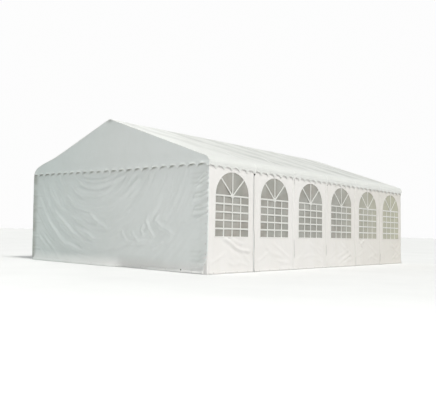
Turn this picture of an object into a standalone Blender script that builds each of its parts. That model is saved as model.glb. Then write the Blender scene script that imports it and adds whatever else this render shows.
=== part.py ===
"""Marquee tent: a steel tube frame under a white coated-cloth cover, six bays long, with arched windows.

Metres, +Z up. The tent runs along Y with its shown gable end at -Y and its shown long side at +X.
The origin is on the ground in the middle of the tent.
"""

import math

import bmesh
import bpy

WIDTH = 8.0
LENGTH = 12.0
BAYS = 6
RIDGE_HEIGHT = 4.41
EAVE_HEIGHT = 2.98
EAVE_BEND_RADIUS = 0.17
SHEET = 0.004
GAP = 0.0003

POST_RADIUS = 0.03
POST_INSET = 0.07
RAIL_RADIUS = 0.025
EAVE_RAIL_X = 3.83
ROOF_RAIL_X = 1.95
RAIL_END = 5.99
FOOT_SIDE = 0.18
FOOT_THICKNESS = 0.006
TUBE_SIDES = 16
RIDGE_STEPS = 4
EAVE_STEPS = 8

VALANCE_TIP_HEIGHT = 2.78
SCALLOP_DEPTH = 0.065
SCALLOPS_GABLE = 23
SCALLOPS_BAY = 6
SCALLOP_STEPS = 8

WALL_BOTTOM = 0.007
WALL_TOP = 2.93
PANEL_GAP = 0.005
CORNER_FOLD_HEIGHT = 0.45
CORNER_FOLD_WIDTH = 0.085

WINDOW_WIDTH = 1.43
WINDOW_BOTTOM = 0.95
WINDOW_SPRING = 2.03
WINDOW_TOP = 2.67
WINDOW_STEPS = 24
FILM_MARGIN = 0.03
FILM_THICKNESS = 0.002

HALF_WIDTH = WIDTH / 2
HALF_LENGTH = LENGTH / 2
SLOPE = math.atan2(RIDGE_HEIGHT - EAVE_HEIGHT, HALF_WIDTH)
POST_X = HALF_WIDTH - POST_INSET
END_POST_Y = HALF_LENGTH - POST_INSET
WALL_INNER_X = POST_X + POST_RADIUS + GAP
WALL_INNER_Y = END_POST_Y + POST_RADIUS + GAP
RAIL_SPACE = 2 * RAIL_RADIUS + 2 * GAP
RIDGE_RAIL_RADIUS = RAIL_SPACE / (1 + math.cos(SLOPE)) - GAP
RAFTER_DEPTH = SHEET + RAIL_SPACE + POST_RADIUS
RIDGE_ROUNDING_DROP = (SHEET + GAP + RIDGE_RAIL_RADIUS) * (1 / math.cos(SLOPE) - 1)
EAVE_BEND_Z = (
    RIDGE_HEIGHT
    + RIDGE_ROUNDING_DROP
    - math.tan(SLOPE) * (HALF_WIDTH - EAVE_BEND_RADIUS)
    - EAVE_BEND_RADIUS / math.cos(SLOPE)
)


def clear_scene():
    for item in list(bpy.data.objects):
        bpy.data.objects.remove(item, do_unlink=True)


def make_material(name, colour, roughness, metallic=0.0, alpha=1.0):
    material = bpy.data.materials.new(name)
    material.use_nodes = True
    shader = material.node_tree.nodes["Principled BSDF"]
    shader.inputs["Base Color"].default_value = (*colour, 1.0)
    shader.inputs["Roughness"].default_value = roughness
    shader.inputs["Metallic"].default_value = metallic
    shader.inputs["Alpha"].default_value = alpha
    return material


def make_object(name, mesh_data, material, smooth_angle=None):
    bmesh.ops.recalc_face_normals(mesh_data, faces=mesh_data.faces)
    mesh = bpy.data.meshes.new(name)
    mesh_data.to_mesh(mesh)
    mesh_data.free()
    if smooth_angle is not None:
        mesh.shade_smooth()
        mesh.set_sharp_from_angle(angle=smooth_angle)
    if material is not None:
        mesh.materials.append(material)
    item = bpy.data.objects.new(name, mesh)
    bpy.context.scene.collection.objects.link(item)
    return item


def make_sheet(name, polygons, place, low, high, material):
    """A flat sheet from adjoining (a, z) polygons: place puts (a, depth, z) in the tent's axes."""
    data = bmesh.new()
    near = {}
    far = {}
    edges = {}
    for polygon in polygons:
        keys = [(round(a, 6), round(z, 6)) for a, z in polygon]
        for a, z in keys:
            if (a, z) not in near:
                near[(a, z)] = data.verts.new(place(a, low, z))
                far[(a, z)] = data.verts.new(place(a, high, z))
        data.faces.new([near[key] for key in keys])
        data.faces.new([far[key] for key in reversed(keys)])
        for first, second in zip(keys, keys[1:] + keys[:1]):
            if (second, first) in edges:
                del edges[(second, first)]
            else:
                edges[(first, second)] = True
    for first, second in edges:
        data.faces.new([near[second], near[first], far[first], far[second]])
    return make_object(name, data, material)


def roof_line(x):
    """Height of the roof's straight outer slope, carried on to the middle and past the eave."""
    return RIDGE_HEIGHT + RIDGE_ROUNDING_DROP - math.tan(SLOPE) * abs(x)


def below_roof(x, depth):
    return roof_line(x) - depth / math.cos(SLOPE)


def square_point(angle, half_side):
    c, s = math.cos(angle), math.sin(angle)
    k = half_side / max(abs(c), abs(s))
    return c * k, s * k


def round_point(angle, radius):
    """A point round the tube, turned so that flats of the true radius face out and along the tent."""
    half_step = math.pi / TUBE_SIDES
    reach = radius / math.cos(half_step)
    return math.cos(angle + half_step) * reach, math.sin(angle + half_step) * reach


def make_portal(name, y, material):
    """Two posts on square foot plates and two rafters, swept as one tube with mitred corners."""
    knee_z = below_roof(POST_X, RAFTER_DEPTH)
    apex_z = below_roof(0, RAFTER_DEPTH)
    knee_turn = math.pi / 2 - SLOPE
    knee_dir = (-math.sin(SLOPE + knee_turn / 2), math.cos(SLOPE + knee_turn / 2))
    knee_scale = 1 / math.cos(knee_turn / 2)
    apex_scale = 1 / math.cos(SLOPE)
    half = FOOT_SIDE / 2
    rings = [
        (-POST_X, 0.0, (-1.0, 0.0), 1.0, square_point, half),
        (-POST_X, FOOT_THICKNESS, (-1.0, 0.0), 1.0, square_point, half),
        (-POST_X, FOOT_THICKNESS, (-1.0, 0.0), 1.0, round_point, POST_RADIUS),
        (-POST_X, knee_z, knee_dir, knee_scale, round_point, POST_RADIUS),
        (0.0, apex_z, (0.0, 1.0), apex_scale, round_point, POST_RADIUS),
        (POST_X, knee_z, (-knee_dir[0], knee_dir[1]), knee_scale, round_point, POST_RADIUS),
        (POST_X, FOOT_THICKNESS, (1.0, 0.0), 1.0, round_point, POST_RADIUS),
        (POST_X, FOOT_THICKNESS, (1.0, 0.0), 1.0, square_point, half),
        (POST_X, 0.0, (1.0, 0.0), 1.0, square_point, half),
    ]
    data = bmesh.new()
    loops = []
    for x, z, out, scale, point, size in rings:
        loop = []
        for k in range(TUBE_SIDES):
            along_y, along_out = point(2 * math.pi * k / TUBE_SIDES, size)
            reach = along_out * scale
            loop.append(data.verts.new((x + out[0] * reach, y + along_y, z + out[1] * reach)))
        loops.append(loop)
    for first, second in zip(loops, loops[1:]):
        for k in range(TUBE_SIDES):
            n = (k + 1) % TUBE_SIDES
            data.faces.new([first[k], first[n], second[n], second[k]])
    data.faces.new(loops[0])
    data.faces.new(loops[-1])
    return make_object(name, data, material, smooth_angle=math.radians(35))


def make_rail(name, x, z, radius, material):
    """A straight tube along the tent's length."""
    data = bmesh.new()
    loops = []
    for y in (-RAIL_END, RAIL_END):
        loops.append(
            [
                data.verts.new(
                    (
                        x + radius * math.sin(2 * math.pi * k / TUBE_SIDES),
                        y,
                        z + radius * math.cos(2 * math.pi * k / TUBE_SIDES),
                    )
                )
                for k in range(TUBE_SIDES)
            ]
        )
    for k in range(TUBE_SIDES):
        n = (k + 1) % TUBE_SIDES
        data.faces.new([loops[0][k], loops[0][n], loops[1][n], loops[1][k]])
    data.faces.new(loops[0])
    data.faces.new(loops[1])
    return make_object(name, data, material, smooth_angle=math.radians(35))


def scallop_outline(start, end):
    """(a, z) points of one scallop's rounded lower edge, from start to end."""
    points = []
    for k in range(SCALLOP_STEPS + 1):
        u = -math.cos(math.pi * k / SCALLOP_STEPS)
        z = VALANCE_TIP_HEIGHT + SCALLOP_DEPTH * (1 - math.sqrt(max(0.0, 1 - u * u)))
        points.append((start + (end - start) * (u + 1) / 2, z))
    return points


def roof_profile(depth):
    """(x, z) of the roof sheet at a depth under its outer surface, from the left eave to the right one."""
    right = []
    ridge_radius = SHEET + GAP + RIDGE_RAIL_RADIUS
    ridge_z = RIDGE_HEIGHT - ridge_radius
    for k in range(RIDGE_STEPS + 1):
        a = SLOPE * k / RIDGE_STEPS
        reach = ridge_radius - depth
        right.append((reach * math.sin(a), ridge_z + reach * math.cos(a)))
    bend_x = HALF_WIDTH - EAVE_BEND_RADIUS
    for k in range(EAVE_STEPS + 1):
        a = SLOPE + (math.pi / 2 - SLOPE) * k / EAVE_STEPS
        reach = EAVE_BEND_RADIUS - depth
        right.append((bend_x + reach * math.sin(a), EAVE_BEND_Z + reach * math.cos(a)))
    return [(-x, z) for x, z in reversed(right[1:])] + right


def make_roof(material):
    """Both slopes, the rounded eaves and the scalloped side valances as one sheet."""
    bay = LENGTH / BAYS
    columns = [-HALF_LENGTH + n * bay for n in range(BAYS + 1)]
    data = bmesh.new()
    skins = []
    for depth in (0.0, SHEET):
        rows = [[data.verts.new((x, y, z)) for y in columns] for x, z in roof_profile(depth)]
        inside = rows[1:-1]
        for low, high in zip(inside, inside[1:]):
            for n in range(BAYS):
                data.faces.new([low[n], low[n + 1], high[n + 1], high[n]])
        skins.append(rows)
    for low, high in zip(range(len(skins[0]) - 1), range(1, len(skins[0]))):
        for e in (0, -1):
            data.faces.new([skins[0][low][e], skins[0][high][e], skins[1][high][e], skins[1][low][e]])
    pitch = bay / SCALLOPS_BAY
    for end, second, side in ((0, 1, -1), (-1, -2, 1)):
        edges = []
        for depth, rows in zip((0.0, SHEET), skins):
            x = side * (HALF_WIDTH - depth)
            edge = []
            for n in range(BAYS):
                above = rows[second]
                tops = [rows[end][n]]
                for k in range(1, SCALLOPS_BAY):
                    tops.append(data.verts.new((x, columns[n] + k * pitch, EAVE_BEND_Z)))
                tops.append(rows[end][n + 1])
                half = SCALLOPS_BAY // 2
                for k in range(SCALLOPS_BAY):
                    corner = above[n] if k < half else above[n + 1]
                    data.faces.new([tops[k], tops[k + 1], corner])
                data.faces.new([tops[half], above[n + 1], above[n]])
                for k in range(SCALLOPS_BAY):
                    points = scallop_outline(columns[n] + k * pitch, columns[n] + (k + 1) * pitch)
                    if edge:
                        low = [edge[-1]]
                    else:
                        low = [data.verts.new((x, points[0][0], points[0][1]))]
                        edge.append(low[0])
                    low += [data.verts.new((x, y, z)) for y, z in points[1:]]
                    edge += low[1:]
                    data.faces.new([tops[k + 1], tops[k]] + low)
            edges.append(edge)
        outer, inner = edges
        for j in range(len(outer) - 1):
            data.faces.new([outer[j], outer[j + 1], inner[j + 1], inner[j]])
        for e in (0, -1):
            data.faces.new([skins[0][end][e], skins[1][end][e], inner[e], outer[e]])
    return make_object("roof_cover", data, material, smooth_angle=math.radians(20))


def make_gable_top(name, side, material):
    """The triangle under the roof's end, with the scalloped valance along its lower edge."""
    profile = roof_profile(SHEET + GAP)
    half = profile[-1][0]
    pitch = 2 * half / SCALLOPS_GABLE
    polygons = []
    for n in range(SCALLOPS_GABLE):
        start = -half + n * pitch
        end = -half + (n + 1) * pitch
        top = [(x, z) for x, z in profile if start + GAP < x < end - GAP]
        if n > 0:
            top.insert(0, (start, below_roof(start, SHEET + GAP)))
        if n < SCALLOPS_GABLE - 1:
            top.append((end, below_roof(end, SHEET + GAP)))
        polygons.append([(start, EAVE_BEND_Z), (end, EAVE_BEND_Z)] + top[::-1])
        polygons.append(scallop_outline(start, end) + [(end, EAVE_BEND_Z), (start, EAVE_BEND_Z)])
    low, high = HALF_LENGTH - SHEET, HALF_LENGTH
    return make_sheet(name, polygons, lambda a, d, z: (a, side * d, z), low, high, material)


def make_gable_wall(name, side, folded_corner, material):
    """The plain end wall, which can have its right lower corner pulled back from the corner post."""
    half = WALL_INNER_X - GAP
    outline = [(-half, WALL_BOTTOM), (half, WALL_BOTTOM), (half, WALL_TOP), (-half, WALL_TOP)]
    if folded_corner:
        outline[1:2] = [(half - CORNER_FOLD_WIDTH, WALL_BOTTOM), (half, CORNER_FOLD_HEIGHT)]
    low, high = WALL_INNER_Y, WALL_INNER_Y + SHEET
    return make_sheet(name, [outline], lambda a, d, z: (a, side * d, z), low, high, material)


def arch_outline(middle, margin):
    """(y, z) points round an arched window whose opening grows by the margin."""
    half = WINDOW_WIDTH / 2 + margin
    rise = WINDOW_TOP - WINDOW_SPRING + margin
    points = [(middle - half, WINDOW_BOTTOM - margin), (middle + half, WINDOW_BOTTOM - margin)]
    for k in range(WINDOW_STEPS + 1):
        a = math.pi * k / WINDOW_STEPS
        points.append((middle + half * math.cos(a), WINDOW_SPRING + rise * math.sin(a)))
    return points


def make_side_panel(name, side, start, end, middle, folded_corner, material):
    """One bay's wall sheet with its arched window cut through."""
    outline = [(start, WALL_BOTTOM), (end, WALL_BOTTOM), (end, WALL_TOP), (start, WALL_TOP)]
    if folded_corner:
        outline[0:1] = [(start, CORNER_FOLD_HEIGHT), (start + CORNER_FOLD_WIDTH, WALL_BOTTOM)]
    low, high = WALL_INNER_X, WALL_INNER_X + SHEET
    panel = make_sheet(name, [outline], lambda a, d, z: (side * d, a, z), low, high, material)
    cutter = make_sheet(
        name + "_cutter",
        [arch_outline(middle, 0.0)],
        lambda a, d, z: (side * d, a, z),
        low - SHEET,
        high + SHEET,
        None,
    )
    cutter.hide_render = True
    cutter.display_type = "WIRE"
    cut = panel.modifiers.new("window", "BOOLEAN")
    cut.operation = "DIFFERENCE"
    cut.solver = "EXACT"
    cut.object = cutter
    return panel


def make_film(name, side, middle, material):
    """The clear film behind a window's opening, lapped all round onto the wall's inner face."""
    high = WALL_INNER_X - GAP
    low = high - FILM_THICKNESS
    outline = arch_outline(middle, FILM_MARGIN)
    return make_sheet(name, [outline], lambda a, d, z: (side * d, a, z), low, high, material)


def main():
    clear_scene()
    roof_cloth = make_material("roof_cloth", (0.86, 0.86, 0.84), 0.45)
    wall_cloth = make_material("wall_cloth", (0.82, 0.81, 0.78), 0.5)
    gable_cloth = make_material("gable_cloth", (0.78, 0.80, 0.79), 0.5)
    film = make_material("window_film", (0.60, 0.60, 0.56), 0.15, alpha=0.45)
    steel = make_material("frame_steel", (0.80, 0.80, 0.79), 0.4, metallic=0.1)

    bay = LENGTH / BAYS
    for n in range(BAYS + 1):
        y = max(-END_POST_Y, min(END_POST_Y, -HALF_LENGTH + n * bay))
        make_portal("portal_frame_" + str(n + 1), y, steel)

    ridge_z = RIDGE_HEIGHT - SHEET - GAP - RIDGE_RAIL_RADIUS
    make_rail("ridge_rail", 0.0, ridge_z, RIDGE_RAIL_RADIUS, steel)
    rail_depth = SHEET + GAP + RAIL_RADIUS
    for word, side in (("left", -1), ("right", 1)):
        make_rail(word + "_eave_rail", side * EAVE_RAIL_X, below_roof(EAVE_RAIL_X, rail_depth), RAIL_RADIUS, steel)
        make_rail(word + "_roof_rail", side * ROOF_RAIL_X, below_roof(ROOF_RAIL_X, rail_depth), RAIL_RADIUS, steel)

    make_roof(roof_cloth)
    make_gable_top("front_gable_top", -1, roof_cloth)
    make_gable_top("back_gable_top", 1, roof_cloth)
    make_gable_wall("front_gable_wall", -1, True, gable_cloth)
    make_gable_wall("back_gable_wall", 1, False, gable_cloth)

    corner = WALL_INNER_Y + SHEET
    for n in range(BAYS):
        start = -HALF_LENGTH + n * bay + PANEL_GAP
        end = -HALF_LENGTH + (n + 1) * bay - PANEL_GAP
        if n == 0:
            start = -corner
        if n == BAYS - 1:
            end = corner
        middle = max(-corner, -HALF_LENGTH + n * bay) / 2 + min(corner, -HALF_LENGTH + (n + 1) * bay) / 2
        for word, side in (("left", -1), ("right", 1)):
            number = str(n + 1)
            folded = side == 1 and n == 0
            make_side_panel(word + "_wall_" + number, side, start, end, middle, folded, wall_cloth)
            make_film(word + "_window_" + number, side, middle, film)


main()
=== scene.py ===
from math import atan2, cos, hypot, pi, radians, sin, tan

import bpy
import numpy as np
from mathutils import Matrix, Vector


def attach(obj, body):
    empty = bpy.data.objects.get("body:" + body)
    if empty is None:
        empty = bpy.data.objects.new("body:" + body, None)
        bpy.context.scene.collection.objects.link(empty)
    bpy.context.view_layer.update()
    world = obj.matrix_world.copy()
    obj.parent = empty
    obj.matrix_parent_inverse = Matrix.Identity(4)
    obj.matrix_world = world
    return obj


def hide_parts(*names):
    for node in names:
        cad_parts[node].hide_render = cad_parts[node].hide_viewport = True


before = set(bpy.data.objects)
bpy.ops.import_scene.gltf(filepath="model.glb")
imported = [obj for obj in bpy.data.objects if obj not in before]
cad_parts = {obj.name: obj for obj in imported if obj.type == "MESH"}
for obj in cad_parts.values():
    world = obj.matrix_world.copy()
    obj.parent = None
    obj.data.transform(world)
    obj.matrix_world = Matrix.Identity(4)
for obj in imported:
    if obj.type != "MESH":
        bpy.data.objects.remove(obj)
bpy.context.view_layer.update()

# Sizes of the part, in metres
HALF_W, HALF_L = 4.0, 6.0
RIDGE, EAVE = 4.41, 2.98
SHEET, RAIL_SPACE = 0.004, 0.0506
BEND_R = 0.17
SLOPE = atan2(RIDGE - EAVE, HALF_W)
RIDGE_R = SHEET + RAIL_SPACE / (1 + cos(SLOPE))
DROP = RIDGE_R * (1 / cos(SLOPE) - 1)
BEND_X = HALF_W - BEND_R
BEND_Z = RIDGE + DROP - tan(SLOPE) * BEND_X - BEND_R / cos(SLOPE)
WALL_X, WALL_Y = 3.9643, 5.9643
WALL_TOP, WALL_FOOT = 2.888, 0.004
GABLE_WALL_TOP, GABLE_WALL_HALF = 2.9, 3.962
# Valances: heights of tips and notches, the depth of a wave, and how many waves there are
SIDE_TIP, SIDE_NOTCH, SIDE_WAVES = 2.685, 2.79, 36
GABLE_NOTCH, GABLE_WAVE, GABLE_WAVES = 2.905, 0.1, 23
# A window's width, and the heights of its bottom, of its arch's foot and of its top
WIN_W, WIN_B, WIN_S, WIN_T = 1.43, 0.95, 2.03, 2.67
JOINTS = [-HALF_L, -4.0, -2.0, 0.0, 2.0, 4.0, HALF_L]
# Half the space between two side walls, and the pitch of the gathers along a wall's top
WALL_GAP, GATHER = 0.012, 0.36

# Points of the meshes: across a wave, down a side valance, over the ridge, down a slope, round the eave
WAVE_POINTS, VALANCE_ROWS = 12, 11
RIDGE_ROWS, SLOPE_ROWS, BEND_ROWS = 5, 90, 13
# Points along the bottom, a side and the arch of a window
PANEL_COUNT = (56, 44, 88)


# Numbers and meshes
def step(a, b, x):
    """0 at a and 1 at b, smooth between them."""
    t = np.clip((x - a) / (b - a), 0, 1)
    return t * t * (3 - 2 * t)


def bell(x, at, width):
    """1 at a place, and less the further x is from it."""
    return np.exp(-(((x - at) / width) ** 2))


def noise(x, y, seed):
    """Smooth noise from -1 to 1."""
    x, y = np.broadcast_arrays(np.asarray(x, float), np.asarray(y, float))
    xi, yi = np.floor(x), np.floor(y)
    u, v = x - xi, y - yi
    u, v = u * u * u * (u * (u * 6 - 15) + 10), v * v * v * (v * (v * 6 - 15) + 10)

    def at(a, b):
        n = np.sin(a * 127.1 + b * 311.7 + seed * 74.7) * 43758.5453
        return n - np.floor(n)

    low = at(xi, yi) * (1 - u) + at(xi + 1, yi) * u
    high = at(xi, yi + 1) * (1 - u) + at(xi + 1, yi + 1) * u
    return (low * (1 - v) + high * v) * 2 - 1


def fold(a, b, points, width, height, fade):
    """A soft fold along a bent line of (a, b) points: a rounded rise with a shallow dip on each side."""
    points = np.array(points, float)
    lengths = np.linalg.norm(np.diff(points, axis=0), axis=1)
    total = lengths.sum()
    best = np.full(np.broadcast(a, b).shape, 1e9)
    side = np.zeros(best.shape)
    along = np.zeros(best.shape)
    done = 0.0
    for p, q, n in zip(points, points[1:], lengths):
        ux, uy = (q - p) / n
        t = np.clip((a - p[0]) * ux + (b - p[1]) * uy, 0, n)
        dx, dy = a - p[0] - t * ux, b - p[1] - t * uy
        d = np.hypot(dx, dy)
        near = d < best
        best = np.where(near, d, best)
        side = np.where(near, np.sign(ux * dy - uy * dx), side)
        along = np.where(near, (done + t) / total, along)
        done += n
    d = best * side / width
    ends = step(0, fade, along) * step(0, fade, 1 - along)
    return height * ends * (np.exp(-d * d) - 0.45 * np.exp(-((np.abs(d) - 1.7) ** 2)))


def add_folds(off, a, b, folds, fade, strong=1.0):
    """An offset with folds added, each a path with its half width and height."""
    for points, width, height in folds:
        off = off + fold(a, b, points, width, strong * height, fade)
    return off


def grid_faces(grid, turned=False):
    """Quads over a grid of points; turned, they look the other way."""
    rows, columns = np.shape(grid)[:2]
    i = np.arange(rows - 1)[:, None] * columns + np.arange(columns - 1)[None, :]
    i = i.ravel()
    faces = np.stack([i, i + 1, i + columns + 1, i + columns], 1)
    return faces[:, ::-1] if turned else faces


def ring_faces(rings, count, around=True, closed=False, turned=False):
    """Quads between rings of points, and where closed also from the last ring to the first."""
    faces = []
    for i in range(rings if closed else rings - 1):
        a, b = i * count, (i + 1) % rings * count
        for k in range(count if around else count - 1):
            m = (k + 1) % count
            quad = (a + k, b + k, b + m, a + m) if turned else (a + k, a + m, b + m, b + k)
            faces.append(quad)
    return faces


def make(name, slot, material, points, faces, dirt_and_shade=None):
    """A smooth piece that rides on the tent; its last argument says how far painted shade and dirt
    darken each point, from 0 to 1.
    """
    mesh = bpy.data.meshes.new(name)
    points = np.asarray(points, float).reshape(-1, 3).tolist()
    mesh.from_pydata(points, [], [list(map(int, f)) for f in faces])
    mesh.materials.append(material)
    mesh.shade_smooth()
    if dirt_and_shade is not None:
        layer = mesh.attributes.new("dirt_and_shade", "FLOAT", "POINT")
        layer.data.foreach_set("value", np.clip(np.asarray(dirt_and_shade, float).ravel(), 0, 1))
    mesh.update()
    item = bpy.data.objects.new(name, mesh)
    bpy.context.scene.collection.objects.link(item)
    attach(item, "root")
    return item


def ribbon(path, across, thick, closed=False, turned=False):
    """Points and faces of a flat band along a path, from its half-width and its thickness vectors."""
    path, across, thick = (np.asarray(x, float) for x in (path, across, thick))
    inner = 0.92 * across
    points = np.stack([path - across, path - inner + thick, path + inner + thick, path + across], 1)
    faces = ring_faces(len(path), 4, False, closed, True)
    if not closed:
        last = (len(path) - 1) * 4
        faces += [(3, 2, 1, 0), (last, last + 1, last + 2, last + 3)]
    return points.reshape(-1, 3), [face[::-1] for face in faces] if turned else faces


def tube(path, radius, sides):
    """Points and faces of a round tube along a path, closed at its ends."""
    path = np.asarray(path, float)
    d = np.gradient(path, axis=0)
    d /= np.linalg.norm(d, axis=1)[:, None]
    up = np.array([0.0, 0.0, 1.0]) if abs(d[0, 2]) < 0.9 else np.array([1.0, 0.0, 0.0])
    points = []
    u = np.cross(d[0], up)
    for p, t in zip(path, d):
        u = u - t * (u @ t)
        u /= np.linalg.norm(u)
        w = np.cross(t, u)
        for k in range(sides):
            a = 2 * pi * k / sides
            points.append(p + radius * (cos(a) * u + sin(a) * w))
    faces = ring_faces(len(path), sides)
    faces.append(tuple(range(sides))[::-1])
    faces.append(tuple(range(len(points) - sides, len(points))))
    return np.array(points), faces


def join(parts):
    """Several (points, faces) as one."""
    points, faces, base = [], [], 0
    for p, f in parts:
        p = np.asarray(p, float).reshape(-1, 3)
        points.append(p)
        faces += [tuple(i + base for i in face) for face in f]
        base += len(p)
    return np.concatenate(points), faces


def hem(name, slot, material, patch, centre, lift=0.002):
    """A doubled strip over a patch of a sheet's grid, on its side away from the centre."""
    patch = np.asarray(patch, float)
    n = np.cross(np.gradient(patch, axis=1), np.gradient(patch, axis=0))
    n /= np.linalg.norm(n, axis=2)[..., None] + 1e-12
    away = patch - np.asarray(centre, float)
    turned = np.sign((n * away).sum(2))[..., None]
    n *= turned
    foot = patch + 0.0003 * n
    grid = np.concatenate([foot[:1], patch + lift * n, foot[-1:]])
    return make(name, slot, material, grid, grid_faces(grid, turned.mean() < 0))


def ball(centre, size):
    """Points and faces of a small ball, a little taller than wide."""
    x, y, z = centre
    tall = 1.15 * size
    rows, count = 9, 16
    points = [(x, y, z + tall)]
    for i in range(1, rows):
        a = pi * i / rows
        wide = size * sin(a)
        for k in range(count):
            b = 2 * pi * k / count
            points.append((x + wide * cos(b), y + wide * sin(b), z + tall * cos(a)))
    points.append((x, y, z - tall))
    faces = [(0, 1 + k, 1 + (k + 1) % count) for k in range(count)]
    faces += [tuple(1 + k for k in quad) for quad in ring_faces(rows - 1, count, turned=True)]
    last = len(points) - 1
    faces += [(last, last - count + (k + 1) % count, last - count + k) for k in range(count)]
    return points, faces


def eyelets(name, grid, places, axis, side):
    """Pressed metal rings on a sheet, each at the grid's point nearest to a place in its plane."""
    flat = [k for k in range(3) if k != axis]
    points = np.asarray(grid, float).reshape(-1, 3)
    steps, sides = 14, 6
    radius, wire, rise = 0.014, 0.005, 0.003
    faces = ring_faces(steps, sides, closed=True, turned=True)
    rings = []
    for place in places:
        at = points[np.argmin(((points[:, flat] - np.array(place)) ** 2).sum(1))].copy()
        at[axis] += side * 0.002
        ring = []
        for i in range(steps):
            a = 2 * pi * i / steps
            for k in range(sides):
                b = 2 * pi * k / sides
                reach = radius + wire * cos(b)
                p = at.copy()
                p[flat[0]] += cos(a) * reach
                p[flat[1]] += sin(a) * reach
                p[axis] += side * rise * sin(b)
                ring.append(p)
        rings.append((ring, faces))
    return make(name, "frame_steel", brass, *join(rings))


# Materials
def fill(tree, node, values=None, links=None):
    """Gives a node's inputs their values and the sockets linked to them."""
    for key, value in (values or {}).items():
        node.inputs[key].default_value = value
    for key, socket in (links or {}).items():
        tree.links.new(socket, node.inputs[key])


def put(tree, kind, values=None, links=None, **settings):
    """A shader node: its settings, the values of its inputs and the sockets linked to them."""
    made = tree.nodes.new(kind)
    for key, value in settings.items():
        setattr(made, key, value)
    fill(tree, made, values, links)
    return made


def new_material(name):
    """A material, its node tree, its Principled shader and the object coordinates."""
    material = bpy.data.materials.new(name)
    material.use_nodes = True
    tree = material.node_tree
    place = put(tree, "ShaderNodeTexCoord").outputs["Object"]
    return material, tree, tree.nodes["Principled BSDF"], place


def clouds(tree, place, scale, detail=4, roughness=0.55, stretch=None):
    """A noise texture's value, stretched along an axis where that is given."""
    if stretch:
        place = put(tree, "ShaderNodeMapping", {"Scale": stretch}, {"Vector": place}).outputs["Vector"]
    values = {"Scale": scale, "Detail": detail, "Roughness": roughness}
    return put(tree, "ShaderNodeTexNoise", values, {"Vector": place}).outputs["Fac"]


def spread(tree, value, from_low, from_high, to_low=0.0, to_high=1.0):
    """A value's range mapped to another."""
    values = {"From Min": from_low, "From Max": from_high, "To Min": to_low, "To Max": to_high}
    return put(tree, "ShaderNodeMapRange", values, {"Value": value}).outputs["Result"]


def blend_colour(tree, factor, first, second, blend="MIX"):
    """Two colours mixed or multiplied; the first may be a socket."""
    values, links = {"B": (*second, 1)}, {"Factor": factor}
    if isinstance(first, tuple):
        values["A"] = (*first, 1)
    else:
        links["A"] = first
    mixed = put(tree, "ShaderNodeMix", values, links, data_type="RGBA", blend_type=blend)
    return mixed.outputs["Result"]


def relief(tree, height, strength, distance, below=None):
    """A bumped normal, on top of another where that is given."""
    links = {"Height": height}
    if below:
        links["Normal"] = below
    values = {"Strength": strength, "Distance": distance}
    return put(tree, "ShaderNodeBump", values, links).outputs["Normal"]


def mix_shaders(tree, share, first, second):
    """The material's surface: the first shader with a share of the second."""
    links = {1: first.outputs["BSDF"], 2: second.outputs["BSDF"]}
    both = put(tree, "ShaderNodeMixShader", {"Fac": share}, links)
    tree.links.new(both.outputs["Shader"], tree.nodes["Material Output"].inputs["Surface"])


def cloth_material(name, colour, shade, rough, runs, shade_and_tint_gradients=(), dirt_and_shade_colour=(0.6, 0.605, 0.6)):
    """Coated cloth: patches, rain runs, painted shade and dirt where the mesh marks them, painted shade
    and tints along some axes, a weave.
    """
    material, tree, shader, place = new_material(name)
    fine = clouds(tree, place, 9.0, 5, 0.6)
    patches = spread(tree, clouds(tree, place, 0.55), 0.42, 0.78, 0, 0.6)
    tone = blend_colour(tree, patches, colour, shade)
    mottle = spread(tree, clouds(tree, place, 3.1, 3), 0.4, 0.75, 0, 0.5)
    tone = blend_colour(tree, mottle, tone, (0.95, 0.955, 0.945), "MULTIPLY")
    rain = spread(tree, clouds(tree, place, 1.0, 4, 0.6, (2.2, 2.2, 0.25)), 0.5, 0.75, 0, runs)
    tone = blend_colour(tree, rain, tone, (0.93, 0.925, 0.9), "MULTIPLY")
    # Painted shade, with some dirt: the mesh's darkening attribute multiplies the tone by the colour
    # given
    dirt_and_shade = put(tree, "ShaderNodeAttribute", attribute_name="dirt_and_shade").outputs["Fac"]
    tone = blend_colour(tree, dirt_and_shade, tone, dirt_and_shade_colour, "MULTIPLY")
    # Gradients of painted shade and of tint along the given axes
    for axis, start, end, tint in shade_and_tint_gradients:
        along = put(tree, "ShaderNodeSeparateXYZ", links={"Vector": place}).outputs[axis]
        tone = blend_colour(tree, spread(tree, along, start, end), tone, tint, "MULTIPLY")
    roughness = spread(tree, fine, 0, 1, rough - 0.06, rough + 0.1)
    thread, at = {"Scale": 160.0, "Distortion": 0.6}, {"Vector": place}
    threads = []
    for way in ("Z", "DIAGONAL"):
        wave = put(tree, "ShaderNodeTexWave", thread, at, wave_type="BANDS", bands_direction=way)
        threads.append(wave.outputs["Fac"])
    weave = put(tree, "ShaderNodeMath", links=dict(enumerate(threads)), operation="ADD")
    normal = relief(tree, fine, 0.5, 0.004, relief(tree, weave.outputs["Value"], 0.12, 0.0004))
    values = {"Specular IOR Level": 0.45, "Sheen Weight": 0.12, "Sheen Roughness": 0.5}
    fill(tree, shader, values, {"Base Color": tone, "Roughness": roughness, "Normal": normal})
    thin = put(tree, "ShaderNodeBsdfTranslucent", links={"Color": tone, "Normal": normal})
    mix_shaders(tree, 0.12, shader, thin)
    return material


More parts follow.
